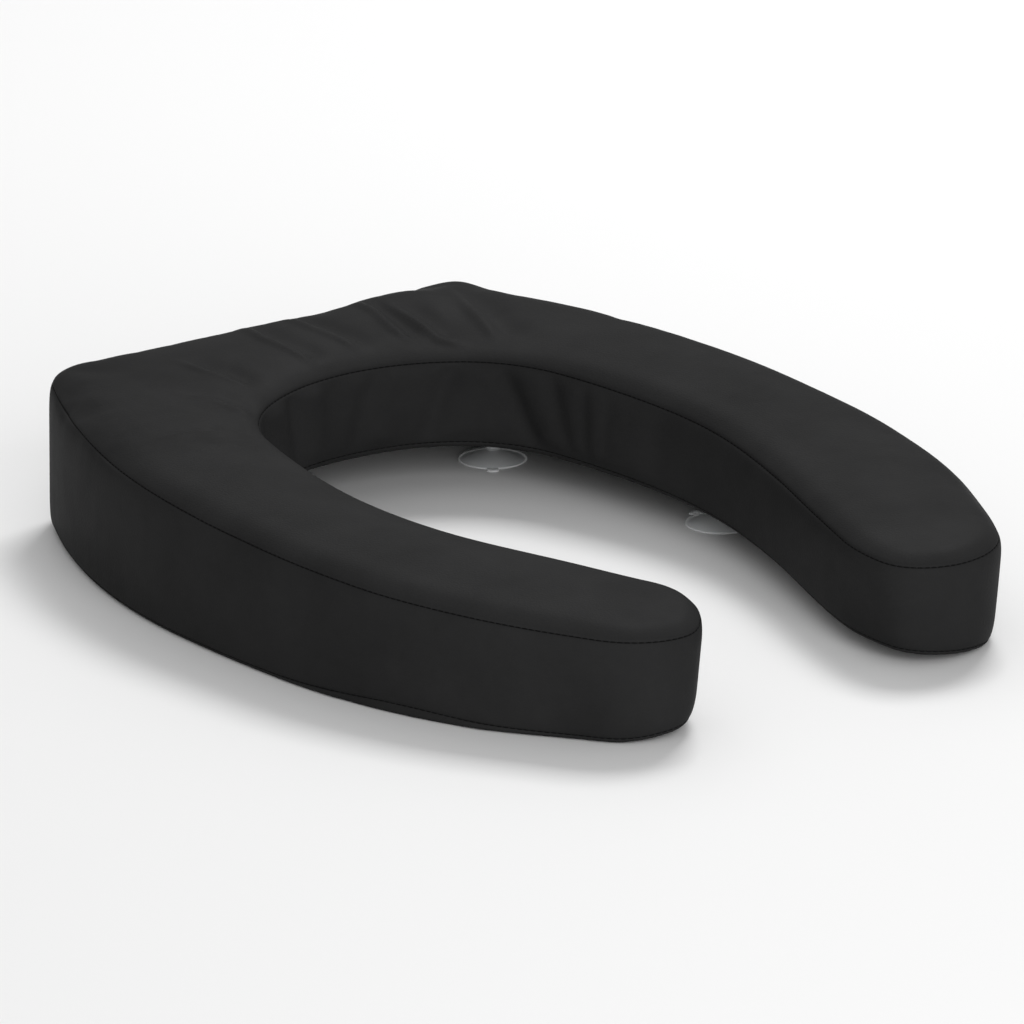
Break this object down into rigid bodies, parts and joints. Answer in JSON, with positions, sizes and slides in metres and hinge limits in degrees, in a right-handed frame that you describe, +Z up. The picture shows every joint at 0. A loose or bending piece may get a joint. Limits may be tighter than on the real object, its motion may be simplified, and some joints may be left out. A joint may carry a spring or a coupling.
{
  "type": "raised toilet seat",
  "caption": "Horseshoe foam cushion in a sewn wipe-clean cover that wedges up towards the rear and is held on a toilet seat by clear suction cups.",
  "frame": {"origin": "centre of the footprint, on the plane that the cushion rests on", "axes": "+X to the right for a person facing the open front, +Y from the open front to the straight rear edge, +Z up"},
  "size_m": [0.3748, 0.4689, 0.078],
  "materials": {
    "cover_vinyl": "satin, fine-grained vinyl-coated fabric",
    "thread": "matt polyester thread",
    "soft_foam": "open-cell foam, soft grade",
    "firm_foam": "open-cell foam, firm grade",
    "zip_tape": "woven polyester tape",
    "zip_nylon": "moulded nylon",
    "zip_metal": "black enamel",
    "eyelet_steel": "nickel-plated steel",
    "clear_pvc": "clear soft PVC"
  },
  "bodies": {
    "cushion": {"top_panel": "cover_vinyl", "side_band": "cover_vinyl", "rear_strip_upper": "cover_vinyl", "rear_strip_lower": "cover_vinyl", "bottom_panel": "cover_vinyl", "seam_thread_top": "thread", "seam_thread_bottom": "thread", "foam_top_layer": "soft_foam", "foam_base": "firm_foam", "zip_tape_upper": "zip_tape", "zip_tape_lower": "zip_tape", "zip_teeth_upper": "zip_nylon", "zip_teeth_lower": "zip_nylon", "zip_end_stops": "zip_metal", "cup_eyelets": "eyelet_steel", "suction_cup_side_right": "clear_pvc", "suction_cup_side_left": "clear_pvc", "suction_cup_rear_right": "clear_pvc", "suction_cup_rear_left": "clear_pvc"},
    "zip_slider": {"zip_slider": "zip_metal"},
    "zip_pull": {"zip_pull": "zip_metal"}
  },
  "joints": [
    {"name": "zip_slide", "type": "slide", "parent": "cushion", "child": "zip_slider", "axis": [-1, 0, 0], "range_m": [0, 0.186]},
    {"name": "zip_pull_hinge", "type": "hinge", "parent": "zip_slider", "child": "zip_pull", "pos_m": [0.093, 0.23285, 0.038], "axis": [1, 0, 0], "range_deg": [0, 180]}
  ]
}
